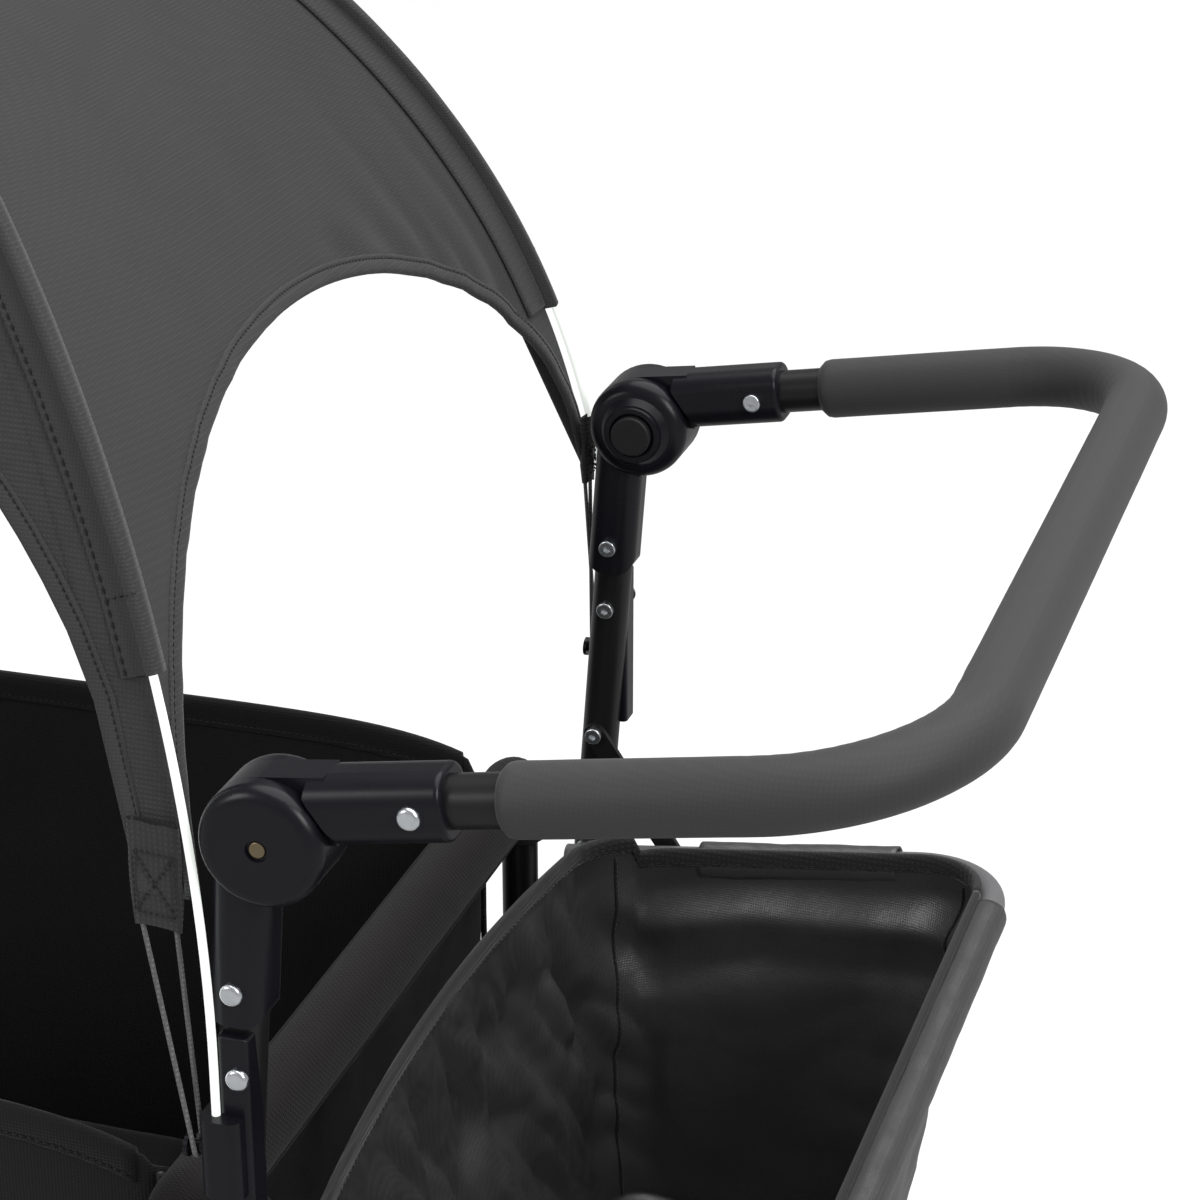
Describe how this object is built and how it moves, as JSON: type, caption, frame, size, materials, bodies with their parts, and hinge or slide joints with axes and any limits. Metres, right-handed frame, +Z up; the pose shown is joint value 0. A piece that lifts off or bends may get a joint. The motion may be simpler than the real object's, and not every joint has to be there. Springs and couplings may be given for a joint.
{
  "type": "folding children's pull wagon",
  "caption": "Folding children's wagon with a fabric tub, domed canopy, rotating foam-gripped push bar, rear bag, telescopic drawbar and swivel front casters.",
  "frame": {"origin": "on the ground under the middle of the wagon's bounding box", "axes": "+X towards the push bar at the rear, +Y to the wagon's left, +Z up"},
  "size_m": [1.2464, 0.626, 1.2013],
  "materials": {
    "steel_black": "satin black powder coat",
    "hub_black": "satin moulded nylon",
    "button_black": "satin moulded",
    "brass": "plain turned",
    "zinc": "bright zinc plated",
    "spring_steel": "drawn wire",
    "foam": "closed-cell foam",
    "tub_cloth": "woven polyester",
    "sleeve_cloth": "heavy woven polyester",
    "bag_cloth": "coated nylon, slightly shiny",
    "canopy_cloth": "thin woven polyester",
    "fibreglass": "white pultruded rod",
    "elastic": "braided elastic",
    "board": "panel covered in cloth",
    "mat_cloth": "padded woven polyester",
    "axle_steel": "plain steel",
    "wheel_plastic": "moulded",
    "tyre": "foamed tread",
    "bag_tube": "grey satin paint"
  },
  "bodies": {
    "rear_frame": {"rear_hoop": "steel_black", "rear_posts": "steel_black", "post_links": "hub_black", "hub_bases": "hub_black", "hub_pins": "brass", "hub_springs": "spring_steel", "rear_rod_holders": "hub_black", "dome_screws": "zinc", "socket_screws": "zinc", "bag_frame": "bag_tube", "bag_struts": "steel_black", "bag_fixings": "zinc", "storage_bag": "bag_cloth", "tub_fabric": "tub_cloth", "floor_boards": "board", "floor_mat": "mat_cloth", "rear_rail_sleeve": "sleeve_cloth", "canopy_fabric": "canopy_cloth", "canopy_rods": "fibreglass", "canopy_elastics": "elastic", "rear_axle": "axle_steel", "axle_nuts": "zinc", "brake_saddles": "hub_black"},
    "push_handle": {"push_bar": "steel_black", "foam_grip": "foam", "hub_arms": "hub_black", "arm_screws": "zinc"},
    "hub_button_left": {"button_left": "button_black"},
    "hub_button_right": {"button_right": "button_black"},
    "scissor_a": {"scissor_bars_a": "steel_black", "rivets_a": "zinc"},
    "scissor_b": {"scissor_bars_b": "steel_black"},
    "scissor_c": {"scissor_bars_c": "steel_black", "rivets_c": "zinc"},
    "scissor_d": {"scissor_bars_d": "steel_black"},
    "rear_sliders": {"sliders_rear": "hub_black"},
    "front_sliders": {"sliders_front": "hub_black"},
    "front_frame": {"front_hoop": "steel_black", "front_posts": "steel_black", "front_post_links": "hub_black", "front_rod_holders": "hub_black", "front_rail_sleeve": "sleeve_cloth", "caster_housings": "hub_black", "drawbar_mount": "steel_black"},
    "caster_left": {"caster_fork_left": "hub_black"},
    "caster_right": {"caster_fork_right": "hub_black"},
    "front_wheel_l": {"front_wheel_left": "wheel_plastic", "front_tyre_left": "tyre"},
    "front_wheel_r": {"front_wheel_right": "wheel_plastic", "front_tyre_right": "tyre"},
    "rear_wheel_l": {"rear_wheel_left": "wheel_plastic", "rear_tyre_left": "tyre"},
    "rear_wheel_r": {"rear_wheel_right": "wheel_plastic", "rear_tyre_right": "tyre"},
    "brake": {"brake_bar": "steel_black", "brake_pedal": "hub_black"},
    "drawbar": {"drawbar_tube": "steel_black", "drawbar_collar": "hub_black"},
    "drawbar_inner": {"drawbar_slide": "axle_steel", "drawbar_grip": "hub_black"}
  },
  "joints": [
    {"name": "handle_tilt", "type": "hinge", "parent": "rear_frame", "child": "push_handle", "pos_m": [0.31608, 0, 0.78977], "axis": [0, -1, 0], "range_deg": [-50, 80]},
    {"name": "button_left_press", "type": "slide", "parent": "rear_frame", "child": "hub_button_left", "axis": [0, 1, 0], "range_m": [0, 0.004], "stiffness_N_per_m": 900, "springref_m": -0.002, "deforming": ["hub_springs"]},
    {"name": "button_right_press", "type": "slide", "parent": "rear_frame", "child": "hub_button_right", "axis": [0, -1, 0], "range_m": [0, 0.004], "stiffness_N_per_m": 900, "springref_m": -0.002},
    {"name": "fold", "type": "hinge", "parent": "rear_frame", "child": "scissor_a", "pos_m": [0.2208, 0, 0.196], "axis": [0, 1, 0], "range_deg": [0, 45], "deforming": ["tub_fabric", "floor_boards", "floor_mat", "canopy_fabric", "canopy_rods", "canopy_elastics"]},
    {"name": "fold_b", "type": "hinge", "parent": "scissor_a", "child": "scissor_b", "pos_m": [0.0353, 0, 0.2322], "axis": [0, 1, 0], "range_deg": [-91, 1]},
    {"name": "fold_rear_slider", "type": "hinge", "parent": "scissor_b", "child": "rear_sliders", "pos_m": [0.2208, 0, 0.26841], "axis": [0, 1, 0], "range_deg": [-1, 46]},
    {"name": "fold_c", "type": "hinge", "parent": "scissor_a", "child": "scissor_c", "pos_m": [-0.1502, 0, 0.26841], "axis": [0, 1, 0], "range_deg": [-91, 1]},
    {"name": "fold_d", "type": "hinge", "parent": "scissor_c", "child": "scissor_d", "pos_m": [-0.3357, 0, 0.2322], "axis": [0, 1, 0], "range_deg": [-1, 91]},
    {"name": "fold_front_slider", "type": "hinge", "parent": "scissor_d", "child": "front_sliders", "pos_m": [-0.5212, 0, 0.26841], "axis": [0, 1, 0], "range_deg": [-46, 1]},
    {"name": "fold_front_frame", "type": "hinge", "parent": "scissor_c", "child": "front_frame", "pos_m": [-0.5212, 0, 0.196], "axis": [0, 1, 0], "range_deg": [-1, 46]},
    {"name": "caster_left_swivel", "type": "hinge", "parent": "front_frame", "child": "caster_left", "pos_m": [-0.5772, 0.245, 0.2], "axis": [0, 0, 1], "continuous": true},
    {"name": "caster_right_swivel", "type": "hinge", "parent": "front_frame", "child": "caster_right", "pos_m": [-0.5772, -0.245, 0.2], "axis": [0, 0, 1], "continuous": true},
    {"name": "front_wheel_left_spin", "type": "hinge", "parent": "caster_left", "child": "front_wheel_l", "pos_m": [-0.5432, 0.245, 0.08], "axis": [0, 1, 0], "continuous": true},
    {"name": "front_wheel_right_spin", "type": "hinge", "parent": "caster_right", "child": "front_wheel_r", "pos_m": [-0.5432, -0.245, 0.08], "axis": [0, 1, 0], "continuous": true},
    {"name": "rear_wheel_left_spin", "type": "hinge", "parent": "rear_frame", "child": "rear_wheel_l", "pos_m": [0.2448, 0.2835, 0.115], "axis": [0, 1, 0], "continuous": true},
    {"name": "rear_wheel_right_spin", "type": "hinge", "parent": "rear_frame", "child": "rear_wheel_r", "pos_m": [0.2448, -0.2835, 0.115], "axis": [0, 1, 0], "continuous": true},
    {"name": "brake_pedal_tilt", "type": "hinge", "parent": "rear_frame", "child": "brake", "pos_m": [0.2778, 0, 0.18], "axis": [0, 1, 0], "range_deg": [0, 18]},
    {"name": "drawbar_tilt", "type": "hinge", "parent": "front_frame", "child": "drawbar", "pos_m": [-0.5762, 0, 0.248], "axis": [0, -1, 0], "range_deg": [0, 80]},
    {"name": "drawbar_telescope", "type": "slide", "parent": "drawbar", "child": "drawbar_inner", "axis": [0, 0, 1], "range_m": [0, 0.25]}
  ],
  "couplings": [
    {"joint": "fold_b", "follows": "fold", "ratio": -2},
    {"joint": "fold_rear_slider", "follows": "fold", "ratio": 1},
    {"joint": "fold_c", "follows": "fold", "ratio": -2},
    {"joint": "fold_d", "follows": "fold", "ratio": 2},
    {"joint": "fold_front_slider", "follows": "fold", "ratio": -1},
    {"joint": "fold_front_frame", "follows": "fold", "ratio": 1}
  ]
}
